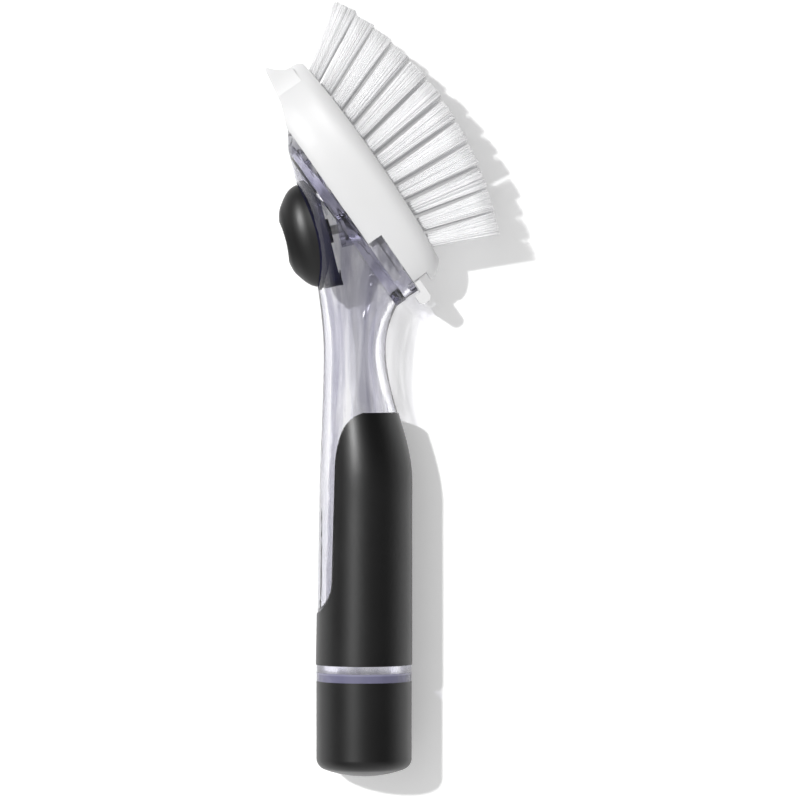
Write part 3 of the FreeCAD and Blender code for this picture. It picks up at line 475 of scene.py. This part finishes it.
def addTuftRow(row, s, block, stick):
    dice = random.Random(s["seed"] + row)
    name = f"tuft_row_{row + 1:02d}"
    bm = bmesh.new()
    shade = bm.verts.layers.float.new("strand")
    size = len(stick.vertices)
    flare = s["tipRadii"][row] - s["baseRadius"]
    for foot, way, length in tuftAxes(row, s, block):
        side = way.orthogonal().normalized()
        other = way.cross(side)
        for i in range(s["filaments"]):
            ring = math.sqrt((i + 0.5) / s["filaments"])        # sunflower spread over the hole
            turn = i * s["spiral"] + dice.uniform(-s["unsteady"], s["unsteady"])
            out = side * (ring * math.cos(turn)) + other * (ring * math.sin(turn))
            base = foot - way * s["sunk"] + out * (s["baseRadius"] - s["filamentRadius"])
            reach = length + s["sunk"] + dice.uniform(-s["ragged"], s["overlong"] * s["ragged"])
            bend = side * dice.gauss(0.0, s["stray"]) + other * dice.gauss(0.0, s["stray"])
            tone = dice.random()
            bm.from_mesh(stick)
            bm.verts.ensure_lookup_table()
            for vert in bm.verts[-size:]:
                t = vert.co.z
                grow = out * (flare * t ** s["flarePower"])
                spot = base + way * (reach * t) + grow + bend * t ** 2 + side * vert.co.x + other * vert.co.y
                spot.y = min(max(spot.y, -s["sideLimit"]), s["sideLimit"])
                vert.co = spot
                vert[shade] = tone
    bmesh.ops.transform(bm, matrix=Matrix.Scale(0.001, 4) @ headFrame, verts=bm.verts)
    mesh = bpy.data.meshes.new(name + "_filaments")
    bm.to_mesh(mesh)
    bm.free()
    piece = bpy.data.objects.new(name + "_filaments", mesh)
    scene.collection.objects.link(piece)
    mesh.materials.append(finish["brushNylon"])
    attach(piece, "brush_head")
    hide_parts(name)
    return len(mesh.polygons)


stick = filamentStick(tuftSet)
faces = sum(addTuftRow(row, tuftSet, blockSet, stick) for row in range(tuftSet["rows"]))
bpy.data.meshes.remove(stick)
print("tuft rows filled,", faces, "faces")


# return spring under the button, as a welded, smooth copy of its node
springSet = {
    "axis": (0.970296, 0.241922, 0.0),          # the way the button is pressed
    "floor": (-0.018891, 0.054051, 0.0165),     # where the spring stands
    "keep": 0.6875,
    "weld": 0.000002,
}


def addSpring(s):
    bm = bmesh.new()
    bm.from_mesh(nodes["return_spring"].data)
    bmesh.ops.remove_doubles(bm, verts=bm.verts, dist=s["weld"])
    mesh = bpy.data.meshes.new("return_spring_coil")
    bm.to_mesh(mesh)
    bm.free()
    mesh.shade_smooth()
    piece = bpy.data.objects.new("return_spring_coil", mesh)
    scene.collection.objects.link(piece)
    mesh.materials.clear()
    mesh.materials.append(finish["springSteel"])
    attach(piece, "handle")
    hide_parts("return_spring")
    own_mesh(piece)


addSpring(springSet)
print("spring set")


# white table, a hard key from the upper left and a pale room that darkens overhead
lightSet = {
    "keyTravel": (0.52, -0.35, -1.0),
    "keyPlace": (-0.5, 0.4, 1.0),
    "keyStrength": 2.12,
    "keyAngle": 2.2,            # degrees across
    "horizon": 0.60,
    "overhead": 0.07,
    "rise": (0.12, 0.58),       # heights between which the room darkens
    "patches": [                # soft patches of the room: direction, where each fades out, brightness
        ((-0.52, 0.35, 1.0), 0.80, 0.95),
        ((0.10, -0.80, 0.60), 0.45, 0.75),
    ],
    "tableColour": (0.93, 0.93, 0.93),
    "tableRough": 0.9,
    "tableShine": 0.1,
    "tableLift": 0.245,
    "tableHalf": 5.0,
    "tableDrop": -0.0002,
}


def addKey(s):
    data = bpy.data.lights.new("key", "SUN")
    data.energy = s["keyStrength"]
    data.angle = math.radians(s["keyAngle"])
    lamp = bpy.data.objects.new("key", data)
    lamp.rotation_mode = "QUATERNION"
    lamp.rotation_quaternion = Vector(s["keyTravel"]).to_track_quat("-Z", "Y")
    lamp.location = s["keyPlace"]
    scene.collection.objects.link(lamp)


def addRoom(s):
    room = bpy.data.worlds.new("paleRoom")
    room.use_nodes = True
    tree = room.node_tree
    tree.nodes.clear()
    out = tree.nodes.new("ShaderNodeOutputWorld")
    back = tree.nodes.new("ShaderNodeBackground")
    coord = tree.nodes.new("ShaderNodeTexCoord")
    split = tree.nodes.new("ShaderNodeSeparateXYZ")
    link(tree, coord.outputs["Generated"], split.inputs["Vector"])
    total = newRange(tree, split.outputs["Z"], s["rise"], (s["horizon"], s["overhead"]), "SMOOTHSTEP")
    for way, fade, strength in s["patches"]:
        toward = tree.nodes.new("ShaderNodeVectorMath")
        toward.operation = "DOT_PRODUCT"
        toward.inputs[1].default_value = Vector(way).normalized()
        link(tree, coord.outputs["Generated"], toward.inputs[0])
        patch = newRange(tree, toward.outputs["Value"], (fade, 1.0), (0.0, strength), "SMOOTHSTEP")
        total = newMath(tree, "ADD", total, patch)
    link(tree, total, back.inputs["Color"])
    link(tree, back.outputs["Background"], out.inputs["Surface"])
    scene.world = room


def addTable(s):
    bm = bmesh.new()
    bmesh.ops.create_grid(bm, x_segments=1, y_segments=1, size=s["tableHalf"])
    bmesh.ops.translate(bm, verts=bm.verts, vec=(0.0, 0.0, s["tableDrop"]))
    mesh = bpy.data.meshes.new("table")
    bm.to_mesh(mesh)
    bm.free()
    table = bpy.data.objects.new("table", mesh)
    scene.collection.objects.link(table)
    mat, tree, skin, _ = newFinish("tablePaint")
    skin.inputs["Base Color"].default_value = (*s["tableColour"], 1.0)
    skin.inputs["Roughness"].default_value = s["tableRough"]
    skin.inputs["Specular IOR Level"].default_value = s["tableShine"]
    skin.inputs["Emission Color"].default_value = (1.0, 1.0, 1.0, 1.0)
    # seen directly, through the clear plastic or in a reflection, the table is lifted to white
    path = tree.nodes.new("ShaderNodeLightPath")
    seen = newMath(tree, "MAXIMUM", path.outputs["Is Camera Ray"], path.outputs["Is Transmission Ray"])
    seen = newMath(tree, "MAXIMUM", seen, path.outputs["Is Glossy Ray"])
    link(tree, newMath(tree, "MULTIPLY", seen, s["tableLift"]), skin.inputs["Emission Strength"])
    mesh.materials.append(mat)


addKey(lightSet)
addRoom(lightSet)
addTable(lightSet)
scene.view_settings.view_transform = "Standard"
print("table and lights set")
